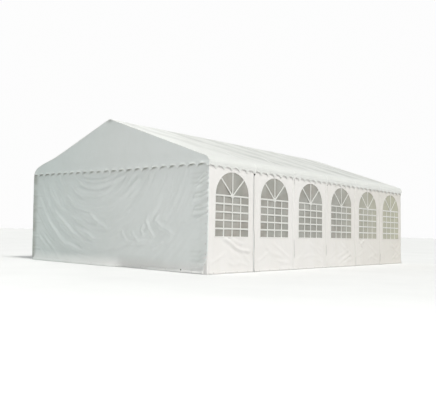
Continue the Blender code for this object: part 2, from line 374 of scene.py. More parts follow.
def film_material(name):
    """Clear soft film, hazy in patches, turning paler and yellower toward the tent's far end."""
    material, tree, shader, place = new_material(name)
    haze = spread(tree, clouds(tree, place, 2.2), 0.35, 0.65)
    tone = blend_colour(tree, haze, (0.36, 0.354, 0.322), (0.462, 0.457, 0.428))
    warm = spread(tree, clouds(tree, place, 1.3, 2), 0.45, 0.7, 0, 0.55)
    tone = blend_colour(tree, warm, tone, (1.0, 0.9, 0.88), "MULTIPLY")
    along = put(tree, "ShaderNodeSeparateXYZ", links={"Vector": place}).outputs["Y"]
    tone = blend_colour(tree, spread(tree, along, 0.5, 6.0), tone, (0.6, 0.585, 0.455))
    normal = relief(tree, clouds(tree, place, 5.0, 2), 0.35, 0.01)
    values = {"Roughness": 0.22, "Specular IOR Level": 0.35}
    fill(tree, shader, values, {"Base Color": tone, "Normal": normal})
    clear = put(tree, "ShaderNodeBsdfTransparent", {"Color": (0.8, 0.8, 0.76, 1)})
    mix_shaders(tree, 0.28, shader, clear)
    return material


def solid_material(name, colour, rough, metallic, scale, bump):
    """A hard surface with a faint mottling of its colour and roughness."""
    material, tree, shader, place = new_material(name)
    cloud = clouds(tree, place, scale, 5)
    tone = blend_colour(tree, cloud, colour, tuple(c * 0.86 for c in colour))
    roughness = spread(tree, cloud, 0, 1, max(0.05, rough - 0.1), rough + 0.1)
    normal = relief(tree, cloud, bump, 0.001)
    links = {"Base Color": tone, "Roughness": roughness, "Normal": normal}
    fill(tree, shader, {"Metallic": metallic}, links)
    return material


roof_cloth = cloth_material("roof_cloth_look", (0.845, 0.85, 0.83), (0.8, 0.805, 0.78), 0.42, 0.35)
# Painted shade: the side walls turn darker and a little yellower toward the tent's far end
wall_far_shade = [("Y", -1.0, 6.0, (0.88, 0.865, 0.825))]
wall_cloth = cloth_material(
    "wall_cloth_look", (0.805, 0.785, 0.77), (0.76, 0.738, 0.718), 0.48, 0.4, wall_far_shade
)
# Painted shade on the end walls: their cloth is a cooler, slightly darker copy of the wall cloth, and
# darkens and turns greener toward the left; toward the foot its tone is a little redder
gable_shade_and_tints = [("X", 0.5, -3.0, (0.92, 0.96, 0.955)), ("Z", 0.34, 0.1, (1.03, 0.995, 0.995))]
gable_dirt_and_shade_colour = (0.61, 0.6, 0.565)
gable_cloth = cloth_material(
    "gable_shaded_cloth_look", (0.76, 0.785, 0.775), (0.71, 0.74, 0.725), 0.48, 0.15, gable_shade_and_tints, gable_dirt_and_shade_colour
)
bar_cloth = cloth_material("bar_cloth_look", (0.73, 0.725, 0.7), (0.67, 0.665, 0.64), 0.4, 0.3)
film = film_material("window_film_look")
steel = solid_material("frame_steel_look", (0.68, 0.685, 0.68), 0.38, 0.25, 25.0, 0.15)
dark_rubber = solid_material("dark_rubber_look", (0.05, 0.045, 0.04), 0.6, 0.0, 60.0, 0.3)
brass = solid_material("eyelet_metal_look", (0.66, 0.65, 0.62), 0.4, 0.5, 90.0, 0.1)


# Roof
def roof_table():
    """The roof's profile from the ridge to the eave's foot: across, height and how far it is turned."""
    rows = []
    for a in np.linspace(0, SLOPE, RIDGE_ROWS):
        rows.append((RIDGE_R * sin(a), RIDGE - RIDGE_R + RIDGE_R * cos(a), a))
    x0, z0 = rows[-1][:2]
    x1 = BEND_X + BEND_R * sin(SLOPE)
    z1 = BEND_Z + BEND_R * cos(SLOPE)
    for t in np.linspace(0, 1, SLOPE_ROWS)[1:]:
        rows.append((x0 + (x1 - x0) * t, z0 + (z1 - z0) * t, SLOPE))
    for a in np.linspace(SLOPE, pi / 2, BEND_ROWS)[1:]:
        rows.append((BEND_X + BEND_R * sin(a), BEND_Z + BEND_R * cos(a), a))
    return np.array(rows)


TABLE = roof_table()


def scallop(u, hand, tip, notch):
    """Height of a valance's wavy edge, u counting scallops; the hand says which way the waves lean."""
    f = u - np.floor(u)
    f = f + hand * 0.125 * (1 - np.cos(2 * pi * f))
    return tip + (notch - tip) * np.abs(np.cos(pi * f)) ** 1.3


# Folds of the roof sheet: where each starts at the ridge, how far along the tent it has run at the eave,
# and its strength, which also sets how dark the painted shade beside it is
ROOF_FOLDS = [
    (-5.4, 2.2, 0.85), (-4.35, 2.3, 0.6), (-3.4, 2.3, 1.0), (-2.5, 2.0, 0.5), (-1.75, 2.0, 1.0),
    (-0.9, 2.2, 0.3), (0.0, 2.1, 0.95), (1.0, 2.1, 0.35), (1.95, 2.1, 1.0), (2.75, 2.0, 0.3),
    (3.45, 1.9, 0.8), (4.2, 1.5, 0.3), (4.95, 0.8, 0.8),
]


def roof_offset(x, y, side):
    """How far the roof sheet stands outward of its straight line, and the painted shade along its folds.
    """
    # The width to the eave's bend, to the rail under the slope, and from that rail on
    width, rail, beyond = 3.86, 1.95, 1.88
    across = np.abs(x)
    tau = np.clip(across / width, 0, 1)
    end = step(0, 0.7, HALF_L - np.abs(y))
    bay = 0.5 - 0.5 * np.cos(pi * (y + HALF_L))
    span = np.where(across < rail, across / rail, np.clip((across - rail) / beyond, 0, 1))
    between = np.sin(pi * span)
    out = -(0.006 + 0.022 * bay) * between * end
    seed = 3 if side > 0 else 8
    dirt_and_shade = 0 * out
    for k, (y0, run, strength) in enumerate(ROOF_FOLDS):
        if side < 0:
            y0, run = -0.3 - y0 + 0.2 * noise(k * 1.7, 0.3, 6), -run
        r = noise(k * 1.9, seed, 5)
        path = y0 + run * tau ** 1.5 + 0.06 * noise(tau * 5, k * 2.3, seed + 4)
        d = (y - path) / (0.12 + 0.11 * strength + 0.03 * r + 0.02 * tau)
        fade = step(0.0, 0.12, tau) * (1 - 0.75 * step(0.72, 0.98, tau))
        out += 0.052 * strength * fade * end * np.exp(-d * d)
        # Painted shade: a dark streak down the lee side of each fold, the side turned toward the front
        lee = d + 1.15 if side > 0 else 1.15 - d
        vein = 0.8 + 0.3 * noise(tau * 4, k * 3.1, seed + 2) + 0.15 * noise(tau * 13, y * 3, seed + 6)
        broad = 1.0 + 0.3 * noise(tau * 3, k * 1.3, seed + 7)
        streak = bell(lee, 0, broad) * step(0.0, 0.06, tau) * step(1.0, 0.8, tau)
        dirt_and_shade += 0.68 * strength * vein * streak
    out += 0.005 * noise(x * 2.1, y * 2.7, seed) * between * end
    out += 0.0025 * noise(x * 6.0, y * 8.0, seed + 1) * end * (0.3 + between)
    return out, dirt_and_shade * step(0, 0.3, HALF_L - np.abs(y)) * (1.0 if side > 0 else 0.5)


def billow(x, y):
    """The roof sheet's rise over the front left corner, between the rafter and the eave."""
    rise = step(4.02, 3.8, np.abs(x)) * bell(np.abs(x), 3.6, 0.55)
    return 0.08 * rise * step(-3.4, -5.3, y) * (x < 0)


def long_flank(u, hand):
    """1 on the long flank of each tongue of a valance, 0 on its short one."""
    f = u - np.floor(u)
    g = f if hand < 0 else 1 - f
    return (0.5 + 0.5 * np.cos(2 * pi * (g - 0.22))) ** 1.5


def tongue_flare(z, u, hand, top, tip, lift, press, narrow=1.0):
    """How far a valance stands off its straight line: long flanks lift, short ones lie close."""
    long = long_flank(u, hand) ** narrow
    curl = 1 + 0.4 * noise(u * 0.9, 0.5, 11)
    hang = np.clip((top - z) / (top - tip), 0, 1.1)
    return hang * (lift * curl * long - press * (1 - long))


def build_roof():
    """The roof's sheet with its side valances, their piping and the seams over the portals."""
    ys = np.linspace(-HALF_L, HALF_L, SIDE_WAVES * WAVE_POINTS + 1)
    per_metre = SIDE_WAVES * WAVE_POINTS / (2 * HALF_L)
    # On the slopes every other row of the table is enough
    bend = RIDGE_ROWS + SLOPE_ROWS - 1
    half = np.array([row for i, row in enumerate(TABLE) if i < RIDGE_ROWS or i >= bend or i % 2 == 0])
    left = half[1:][::-1] * np.array([-1, 1, -1])
    profile = np.concatenate([left, half])
    x, z, a = (profile[:, k][:, None] for k in range(3))
    y = ys[None, :] + 0 * x
    right, left = roof_offset(x, y, 1), roof_offset(x, y, -1)
    out, dirt_and_shade = (np.where(x > 0, r, l) for r, l in zip(right, left))
    out = out * step(0.0, 0.25, np.abs(x)) * step(pi / 2, SLOPE, np.abs(a)) + billow(x, y)
    # Painted shade over the eave's bend
    dirt_and_shade += 0.27 * step(SLOPE, 1.0, np.abs(a))
    grid = np.stack([x + np.sin(a) * out, y, z + np.cos(a) * out], 2)
    valances = []
    u = (ys + HALF_L) * (SIDE_WAVES / (2 * HALF_L)) - 0.2
    edge = scallop(u, -1, SIDE_TIP, SIDE_NOTCH)
    for side in (-1, 1):
        rows = []
        for v in np.linspace(0, 1, VALANCE_ROWS + 1)[1:]:
            zz = BEND_Z + (edge - BEND_Z) * v
            flare = np.maximum(tongue_flare(zz, u, -1, BEND_Z, SIDE_TIP, -0.014, 0.03, 2.0), -0.029)
            py = ys * (1 + flare / HALF_L * step(0.4, 0, HALF_L - np.abs(ys)))
            rows.append(np.stack([side * (HALF_W + flare), py, zz], 1))
        valances.append(np.array(rows))
    grid = np.concatenate([valances[0][::-1], grid, valances[1]])
    # Painted shade over the side valances
    skirt = np.full((VALANCE_ROWS, len(ys)), 0.24)
    dirt_and_shade = np.concatenate([skirt, dirt_and_shade, skirt])
    item = make("roof_canopy", "roof_cloth", roof_cloth, grid, grid_faces(grid), dirt_and_shade)
    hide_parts("roof_cover")
    for word, row in (("left", grid[0]), ("right", grid[-1])):
        name = f"roof_canopy_{word}_piping"
        make(name, "roof_cloth", bar_cloth, *tube(row, 0.004, 6))
    for k, y0 in enumerate(JOINTS[1:-1]):
        name = f"roof_canopy_seam_{k + 1}"
        c = round((y0 + HALF_L) * per_metre)
        patch = np.transpose(grid[:, c - 1:c + 2], (1, 0, 2))
        hem(name, "roof_cloth", roof_cloth, patch, (0, y0, 1.0), 0.0015)


def roof_height(x, depth, side):
    """Height of the roof sheet's outer surface over one end of the tent, less a depth, over x."""
    px, pz, a = TABLE.T
    outs = [billow(hand * px, side * HALF_L) - depth for hand in (-1, 1)]
    left, right = (np.interp(np.abs(x), px + np.sin(a) * out, pz + np.cos(a) * out) for out in outs)
    return np.where(x < 0, left, right)


def gable_notch(x, side):
    """Height of the notches between an end valance's tongues: it sags away from its left corner."""
    drop = 0.07 * step(-3.8, 1.2, x) if side < 0 else 0.05 + 0.02 * np.cos(x)
    return GABLE_NOTCH - drop


def gable_count(x):
    """Which scallop of an end valance lies at x."""
    return 0.5 + (x + HALF_W) / (2 * HALF_W) * GABLE_WAVES


def build_gable_top(name, side, seed):
    """The triangle at one end with its valance, its welt and its piping."""
    xs = np.linspace(-HALF_W + 0.002, HALF_W - 0.002, GABLE_WAVES * WAVE_POINTS + 1)
    u = gable_count(xs)
    notch = gable_notch(xs, side)
    tip = notch - GABLE_WAVE
    edge = scallop(u, -side, tip, notch)
    top = roof_height(xs, 0.006, side)
    vs = np.concatenate([np.linspace(0, 0.2, 12)[:-1], np.linspace(0.2, 1, 36)])
    x = xs[None, :] + 0 * vs[:, None]
    z = edge[None, :] + (top - edge)[None, :] * vs[:, None]
    # The height where the valance starts
    line = 2.965
    flare = 0.12 * np.clip(line - z, 0, 1)
    flare += tongue_flare(z, u[None, :], -side, notch + 0.05, tip, 0.06, 0.02)
    flare = flare * step(-0.02, 0.1, HALF_W - np.abs(x))
    inner = step(0, 0.25, z - line) * step(0, 0.3, HALF_W - np.abs(x))
    apex = 0.6 * np.exp(-(x / 0.11) ** 2 - ((z - 4.36) / 0.06) ** 2)
    wave = 0.01 * noise(x * 1.1, z * 1.6, seed) + 0.004 * noise(x * 3.0 + z * 1.5, z * 2.0, seed + 1)
    wave += 0.003 * noise(x * 5.0 - z * 2.0, z * 4.0, seed + 2) * step(3.35, 3.05, z)
    out = flare + inner * (0.004 + wave)
    px = x * (1 + flare / HALF_W * step(0.4, 0, HALF_W - np.abs(x)))
    grid = np.stack([px, side * (HALF_L - 0.0005 + out), z], 2)
    item = make(name + "_sheet", "roof_cloth", gable_cloth, grid, grid_faces(grid, side > 0), apex)
    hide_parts(name)
    # The welded edge where the triangle meets the slopes, and the piping along the scallops
    x0 = np.linspace(-HALF_W + 0.01, HALF_W - 0.01, 160)
    path = np.stack([x0, side * (HALF_L + 0.001) + 0 * x0, roof_height(x0, 0.004, side)], 1)
    welt = make(name + "_welt", "roof_cloth", roof_cloth, *tube(path, 0.009, 8))
    piping = make(name + "_piping", "roof_cloth", bar_cloth, *tube(grid[0], 0.004, 6))


# Side walls
def window_outline(middle, margin, count):
    """(y, z) points round the window: bottom edge, right side, arch and left side."""
    h = WIN_W / 2 + margin
    rise = WIN_T - WIN_S + margin
    low = WIN_B - margin
    nb, ns, na = count
    bottom = [(middle - h + 2 * h * k / nb, low) for k in range(nb)]
    right = [(middle + h, low + (WIN_S - low) * k / ns) for k in range(ns)]
    arch = []
    for k in range(na):
        a = pi * k / na
        arch.append((middle + h * cos(a), WIN_S + rise * sin(a)))
    left = [(middle - h, WIN_S - (WIN_S - low) * k / ns) for k in range(ns)]
    return np.array(bottom + right + arch + left)


def panel_ring(start, end):
    """The panel's rectangle, point for point with the window's outline."""
    nb, ns, na = PANEL_COUNT
    z0, z1 = WALL_FOOT, WALL_TOP
    q = na // 4
    bottom = [(start + (end - start) * k / nb, z0) for k in range(nb)]
    right = [(end, z0 + (z1 - z0) * k / (ns + q)) for k in range(ns + q)]
    top = [(end + (start - end) * k / (na - 2 * q), z1) for k in range(na - 2 * q)]
    left = [(start, z1 - (z1 - z0) * k / (ns + q)) for k in range(ns + q)]
    return np.array(bottom + right + top + left)


# Creases of the shown side as (y, z) paths, by bay, each with its half width and height
SIDE_FOLDS = [
    [
        ([(-5.42, 0.96), (-5.07, 0.81), (-4.81, 0.67), (-4.5, 0.59), (-4.06, 0.56)], 0.05, 0.026),
        ([(-5.05, 0.93), (-4.75, 0.8), (-4.45, 0.74)], 0.045, 0.012),
        ([(-5.2, 0.32), (-4.9, 0.22), (-4.5, 0.25)], 0.05, 0.008),
    ],
    [
        ([(-3.5, 0.78), (-3.1, 0.5), (-2.6, 0.4)], 0.06, 0.007),
        ([(-2.9, 0.3), (-2.5, 0.2), (-2.1, 0.24)], 0.05, 0.007),
    ],
    [
        ([(-1.6, 0.3), (-1.1, 0.42), (-0.5, 0.36)], 0.055, 0.008),
        ([(-0.9, 0.75), (-0.4, 0.6), (-0.1, 0.4)], 0.05, 0.008),
    ],
    [
        ([(0.75, 0.1), (1.15, 0.26), (1.7, 0.42)], 0.045, 0.015),
        ([(0.65, 0.28), (1.1, 0.42), (1.6, 0.62)], 0.045, 0.013),
        ([(1.05, 0.08), (1.4, 0.18), (1.85, 0.3)], 0.045, 0.015),
        ([(0.45, 0.85), (0.5, 0.65), (0.48, 0.5)], 0.04, 0.008),
    ],
    [
        ([(2.25, 0.88), (2.45, 0.76), (2.62, 0.66)], 0.045, 0.016),
        ([(2.3, 0.66), (2.5, 0.8), (2.75, 0.9)], 0.045, 0.014),
        ([(2.9, 0.2), (3.4, 0.35), (3.85, 0.45)], 0.05, 0.01),
    ],
    [
        ([(5.0, 0.12), (5.45, 0.35), (5.9, 0.72)], 0.05, 0.016),
        ([(5.3, 0.1), (5.6, 0.25), (5.93, 0.42)], 0.045, 0.014),
        ([(4.8, 0.7), (5.3, 0.62), (5.9, 0.9)], 0.05, 0.01),
    ],
]


def side_relief(y, z, bay):
    """Outward offset of a side wall's cloth."""
    n, side, start, end, middle = bay
    seed = n * 7 + (0 if side > 0 else 50)
    edge = np.minimum(y - start, end - y)
    beside = np.maximum(np.abs(y - middle) - WIN_W / 2, 0)
    win = np.hypot(beside, np.maximum(WIN_B - z, 0) + np.maximum(z - WIN_T, 0))
    free = step(0, 0.25, edge) * step(0.0, 0.3, win + 0.08)
    off = 0.006 * noise(y * 0.9, z * 0.7, seed) * free
    off += 0.004 * noise(y * 2.6 + z * 1.3, z * 1.1, seed + 1) * free
    off += 0.0016 * noise(y * 9.0 + z * 3.0, z * 4.0, seed + 2) * step(0, 0.1, edge)
    # Creases that pull from the foot of a post up to the window's lower corner, and along the posts
    corner = middle + WIN_W / 2
    r = noise(seed * 1.7, 0.2, 31)
    s = noise(seed * 2.9, 0.7, 32)
    creases = [
        ([(end - 0.05, 0.3 + 0.1 * r), (corner - 0.25, 0.52), (middle - 0.2, 0.85)], 0.05, 0.009),
        ([(end - 0.05, 0.12), (corner - 0.1, 0.22), (middle, 0.3 + 0.1 * s)], 0.04, 0.006),
        ([(start + 0.05, 0.2 + 0.1 * s), (middle - 0.5, 0.42), (middle - 0.15, 0.6)], 0.045, 0.006),
        ([(start + 0.1, 0.9), (start + 0.16, 1.6), (start + 0.12, 2.4)], 0.03, 0.004),
        ([(end - 0.1, 0.8), (end - 0.15, 1.5), (end - 0.1, 2.5)], 0.03, 0.004),
    ]
    off = add_folds(off, y, z, creases, 0.25)
    if side > 0:
        off = add_folds(off, y, z, SIDE_FOLDS[n], 0.18)
    # Soft gathers where the top is tied to the rail
    tie = np.cos(2 * pi * (y - start) / GATHER)
    off += 0.004 * tie * step(2.45, 2.85, z) * step(0, 0.15, edge)
    # The hem turns out a little on the ground
    off += 0.02 * step(0.14, 0.0, z) * (0.5 + 0.5 * noise(y * 1.5, 0.0, seed + 4))
    # Behind the valance it lies close to the rail
    off -= step(2.57, 2.67, z) * np.maximum(off, 0)
    # Beside the posts the cloth follows the round tube
    off -= 0.007 * (1 - step(0.0, 0.05, edge))
    return off


def side_edge(y, z, bay):
    """How far along the wall its edges are pulled."""
    n, side, start, end = bay[:4]
    shift = 0.0 * y
    if side > 0 and n == 0:
        pull = step(0.62, 0.0, z) * (1 - step(0, 0.35, y - start))
        near = 1 - step(0, 0.25, end - y)
        shift += 0.065 * pull
        shift -= 0.035 * bell(z, 0.48, 0.1) * near
        shift -= 0.022 * step(0.95, 1.25, z) * near
    if side > 0 and n == 1:
        near = 1 - step(0, 0.25, y - start)
        shift -= 0.025 * bell(z, 0.5, 0.1) * near
        shift += 0.05 * step(0.25, 0.0, z) * near
        shift -= 0.046 * step(0.95, 1.25, z) * near
    return shift


def build_side_panel(n, side):
    """One bay's wall round its window, its hem and eyelets, and what is in the window."""
    word = "right" if side > 0 else "left"
    wall, window = f"{word}_wall_{n + 1}", f"{word}_window_{n + 1}"
    start = JOINTS[n] + (WALL_GAP if n else HALF_L - WALL_Y)
    end = JOINTS[n + 1] - (WALL_GAP if n < 5 else HALF_L - WALL_Y)
    # The two walls at the open joint of the shown side stand further apart
    if side > 0 and n == 0:
        end -= 0.016
    if side > 0 and n == 1:
        start += 0.01
    middle = (max(JOINTS[n], -WALL_Y) + min(JOINTS[n + 1], WALL_Y)) / 2
    inner = window_outline(middle, 0.0, PANEL_COUNT)
    outer = panel_ring(start, end)
    s = np.linspace(0, 1, 38) ** 1.15
    ring = inner[None] + (outer - inner)[None] * s[:, None, None]
    ring = np.concatenate([ring, ring[:, :1]], 1)
    y, z = ring[..., 0], ring[..., 1]
    bay = (n, side, start, end, middle)
    off = side_relief(y, z, bay)
    shift = side_edge(y, z, bay)
    sag = 0.012 * (0.5 - 0.5 * np.cos(2 * pi * (y - start) / GATHER))
    sag = sag * step(WALL_TOP - 0.12, WALL_TOP, z)
    x = side * (WALL_X + 0.001 + off)
    grid = np.stack([x, y + shift, z - sag], 2)
    # The grid's last column is its first again: it is left out and its faces closed on the first
    rows, columns = grid.shape[:2]
    faces = grid_faces(grid, side > 0)
    base = (faces // columns) * columns
    faces = base + (faces - base) % (columns - 1)
    keep = np.arange(rows * columns) % columns != columns - 1
    index = np.cumsum(keep) - 1
    points = grid.reshape(-1, 3)[keep]
    item = make(wall + "_cloth", "wall_cloth", wall_cloth, points, index[faces])
    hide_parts(wall)
    border = hem(item.name + "_hem", "wall_cloth", wall_cloth, grid[-3:], (0, middle, 1.5))
    places = [(start + (end - start) * (k + 0.5) / 4, 0.035) for k in range(4)]
    rings = eyelets(item.name + "_eyelets", grid, places, 0, side)
    build_film(window, n, side, middle)
    build_bars(window, bay)


def build_film(window, n, side, middle):
    """A window's film, lapped behind the opening and bellied a little."""
    flat = window_outline(middle, 0.028, (20, 18, 36))
    rings = 14
    centre = np.array([middle, 1.75])
    s = np.linspace(0, 1, rings) ** 0.8
    net = centre + (flat - centre)[None] * s[:, None, None]
    y, z = net[..., 0], net[..., 1]
    inside = 1 - s[:, None] ** 2
    belly = inside * (0.01 * noise(y * 1.3, z * 1.1, n * 5 + 2) - 0.012) - 0.004
    x = side * (WALL_X - 0.002 + belly)
    points = np.stack([x, y, z], 2).reshape(-1, 3)
    faces = ring_faces(rings, len(flat))
    if side > 0:
        faces = [quad[::-1] for quad in faces]
    pane = make(window + "_film", "window_film", film, points, faces)
    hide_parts(window)


def build_bars(window, bay):
    """The welded rim round a window's opening, the cross bars and the fan of bars with its hub."""
    side, middle = bay[1], bay[-1]
    parts = []

    def band(points_yz, width, level, closed=False):
        """Adds a flat band along (y, z) points, at a level outward of the wall's cloth."""
        p = np.array(points_yz, float)
        d = np.roll(p, -1, 0) - np.roll(p, 1, 0) if closed else np.gradient(p, axis=0)
        d /= np.linalg.norm(d, axis=1)[:, None]
        bend = side_relief(p[:, 0], p[:, 1], bay)
        path = np.stack([side * (WALL_X + 0.001 + level + bend), p[:, 0], p[:, 1]], 1)
        across = np.stack([0 * d[:, 0], -d[:, 1] * width / 2, d[:, 0] * width / 2], 1)
        parts.append(ribbon(path, across, [side * 0.0022, 0, 0], closed, side > 0))

    band(window_outline(middle, 0.004, PANEL_COUNT), 0.034, 0.0004, True)
    make(window + "_rim", "wall_cloth", wall_cloth, *join(parts))
    parts.clear()
    half, rise = WIN_W / 2, WIN_T - WIN_S
    bar, inset = 0.045, 0.002
    pitch = (WIN_S - WIN_B) / 5
    for k in (1, 2, 3):
        yk = middle - half + WIN_W * k / 4
        top = WIN_S if k != 2 else WIN_T - inset
        band([(yk, z) for z in np.linspace(WIN_B + inset, top, 24)], bar, -0.0048)
    for k in range(1, 6):
        zk = WIN_B + pitch * k
        ys = np.linspace(middle - half + inset, middle + half - inset, 24)
        band([(y, zk) for y in ys], bar, -0.0042)
    a = radians(43)
    reach = 1 / hypot(cos(a) / half, sin(a) / rise)
    for sign in (-1, 1):
        rs = np.linspace(0.02, reach, 16)
        band([(middle + sign * r * cos(a), WIN_S + r * sin(a)) for r in rs], bar, -0.0036)
    hub = 0.035
    ts = np.linspace(0, 2 * pi, 20)[:-1]
    band([(middle + hub * cos(t), WIN_S + hub * sin(t)) for t in ts], 0.06, -0.0032, True)
    make(window + "_bars", "wall_cloth", bar_cloth, *join(parts))


# How far along the wall each lapped strip lies from its joint
JOINT_SHIFT = {3: -0.045, 4: 0.02, 5: 0.0}
# Where each lapped strip carries a painted shadow: from, to, how much
STRIP_SHADOWS = {2: (0.38, 0.88, 0.9), 3: (0.42, 0.72, 0.9), 4: (0.05, 0.3, 0.8), 5: (0.12, 0.38, 1.0)}


def build_joint(j, side):
    """What closes the joint of two side walls: hems and a lapped strip, or at one joint only hems."""
    word = "right" if side > 0 else "left"
    y0 = JOINTS[j]
    open_joint = side > 0 and j == 1
    zs = np.linspace(0.03, WALL_TOP - 0.01, 90)
    parts = []
    half = 0.018
    gaps = (0.028, 0.022) if open_joint else (WALL_GAP, WALL_GAP)
    for sign, gap in zip((-1, 1), gaps):
        bent = -0.034 * step(0.95, 1.25, zs) if open_joint else 0 * zs
        y = y0 + sign * (gap + half) + bent
        p = np.stack([side * (WALL_X + 0.0005 + 0 * zs), y, zs], 1)
        parts.append(ribbon(p, [0, half, 0], [side * 0.003, 0, 0], turned=side < 0))
    make(f"{word}_hems_{j}", "wall_cloth", wall_cloth, *join(parts))
    if open_joint:
        return
    vs = np.linspace(-1, 1, 13)
    v, z = np.meshgrid(vs, zs)
    lift = 0.01 + 0.006 * noise(z * 2.1, j * 3.3, 41)
    width = 0.055 + 0.006 * noise(z * 1.4, j * 2.2, 42)
    y = y0 + JOINT_SHIFT.get(j, 0.012) + v * width + 0.006 * noise(z * 0.9, j, 43)
    free = step(-1, 0.2, v)
    gape = 0.012 * free * (bell(z, 0.45, 0.2) + 0.7 * bell(z, 2.62, 0.1))
    x = side * (WALL_X + 0.004 + 0.01 * (1 - v * v) + free * (lift - 0.006) + gape)
    grid = np.stack([x, y, z], 2)
    # Painted shadows on the strip: along its middle between the listed heights, and near the top of the
    # second strip
    low, high, much = STRIP_SHADOWS.get(j, (0, 0.1, 0))
    dirt_and_shade = much * step(low - 0.08, low + 0.05, z) * step(high + 0.08, high - 0.05, z)
    dirt_and_shade = dirt_and_shade * bell(v, 0.15, 0.35)
    dirt_and_shade += 0.8 * (j == 2) * bell(v, -0.1, 0.45) * step(2.52, 2.6, z)
    faces = grid_faces(grid, side < 0)
    strip = make(f"{word}_strip_{j}", "wall_cloth", wall_cloth, grid, faces, dirt_and_shade)


def build_tie(j, side):
    """An elastic loop with a ball that holds the wall's top corners to the post."""
    word = "right" if side > 0 else "left"
    low = 2.69
    size = {1: 0.019, 2: 0.008, 3: 0.013}.get(j, 0.007)
    x, y = side * (WALL_X + size + 0.004), JOINTS[j] - (0.034 if j == 1 and side > 0 else 0)
    loop = []
    for t in np.linspace(0, 1, 18):
        a = pi * t
        high = low + 0.8 * size + 2.0 * size * sin(a)
        loop.append((x - side * size * t, y + size * sin(2 * a), high))
    parts = [ball((x, y, low), size), tube(loop, 0.003, 6)]
    make(f"{word}_tie_{j}", "wall_cloth", dark_rubber, *join(parts))


# End walls
# Folds of the front end wall as (x, z) paths, each with its half width and height
GABLE_FOLDS = [
    ([(-3.62, 0.8), (-3.25, 0.54), (-2.85, 0.3)], 0.045, 0.016),
    ([(-3.36, 0.88), (-3.0, 0.6), (-2.6, 0.33)], 0.045, 0.016),
    ([(-3.35, 1.45), (-2.86, 1.14), (-2.49, 0.82), (-2.09, 0.6), (-1.6, 0.49), (-1.0, 0.36)],
     0.06, 0.022),
    ([(-2.9, 1.72), (-2.28, 1.34), (-1.92, 1.07), (-1.64, 0.84), (-1.3, 0.69), (-0.85, 0.62)],
     0.052, 0.02),
    ([(-2.55, 1.22), (-2.1, 1.02), (-1.79, 0.86), (-1.45, 0.66), (-1.0, 0.53)], 0.055, 0.018),
    ([(-1.95, 1.1), (-1.79, 0.99), (-1.44, 0.84), (-1.05, 0.7), (-0.5, 0.59)], 0.055, 0.02),
    ([(-1.85, 1.24), (-1.32, 1.03), (-0.94, 0.96), (-0.5, 0.71)], 0.055, 0.02),
    ([(-1.8, 1.52), (-1.29, 1.35), (-0.95, 1.18)], 0.055, 0.016),
    ([(-0.95, 1.65), (-0.46, 1.28), (-0.16, 1.17), (0.12, 1.02)], 0.06, 0.018),
    ([(-3.05, 2.3), (-2.75, 2.01), (-2.45, 1.8), (-1.95, 1.62)], 0.055, 0.014),
    ([(-2.5, 2.12), (-2.2, 1.66)], 0.045, 0.011),
    ([(-2.2, 2.22), (-1.63, 1.83), (-1.06, 1.74), (-0.55, 1.7)], 0.06, 0.018),
    ([(-1.9, 2.62), (-1.61, 2.31), (-1.2, 2.18), (-0.75, 2.09), (-0.15, 2.11), (0.3, 2.26)],
     0.1, 0.026),
    ([(-1.85, 2.76), (-1.42, 2.59), (-0.89, 2.41), (-0.4, 2.42), (0.11, 2.48), (0.63, 2.65),
      (1.0, 2.74)], 0.06, 0.016),
    ([(-1.6, 2.8), (-1.23, 2.64), (-0.78, 2.57), (-0.17, 2.57), (0.4, 2.74)], 0.045, 0.012),
    ([(0.0, 1.7), (0.44, 1.95), (0.87, 2.2), (1.22, 2.43), (1.55, 2.68)], 0.08, 0.018),
    ([(0.9, 1.93), (1.19, 2.19), (1.4, 2.4)], 0.05, 0.011),
    ([(1.8, 1.58), (1.69, 1.33), (1.8, 1.12), (2.05, 0.84)], 0.055, 0.015),
    ([(2.22, 1.58), (2.04, 1.36), (2.25, 1.2), (2.54, 1.1), (2.8, 0.96)], 0.06, 0.018),
    ([(0.65, 1.08), (0.76, 0.92), (0.92, 0.76)], 0.045, 0.012),
    ([(1.1, 1.14), (1.2, 0.88), (1.41, 0.77), (1.9, 0.82)], 0.05, 0.012),
    ([(1.62, 1.3), (1.5, 1.08), (1.6, 0.9)], 0.045, 0.014),
    ([(0.6, 0.74), (1.3, 0.72), (1.95, 0.76)], 0.05, 0.012),
    ([(1.85, 0.58), (2.15, 0.66), (2.45, 0.8)], 0.06, 0.016),
    ([(3.0, 1.28), (3.3, 1.33), (3.62, 1.42)], 0.04, 0.009),
    ([(-3.3, 2.45), (-3.05, 1.9), (-3.2, 1.5)], 0.07, 0.01),
]
# The cloth hangs from its top corners, so its small folds lie in arcs round a point above the wall
SAG_CENTRE = (-0.6, 3.9)
# Puckers along its right edge: the height and the strength of each
PUCKERS = [
    (2.62, 0.8), (2.5, 1.0), (2.37, 1.0), (2.12, 1.0), (2.02, 0.8), (1.78, 1.0), (1.68, 0.8),
    (1.52, 0.7), (1.2, 0.3), (0.9, 0.3), (0.6, 0.9), (0.48, 0.7), (0.37, 1.0), (0.27, 0.8),
]


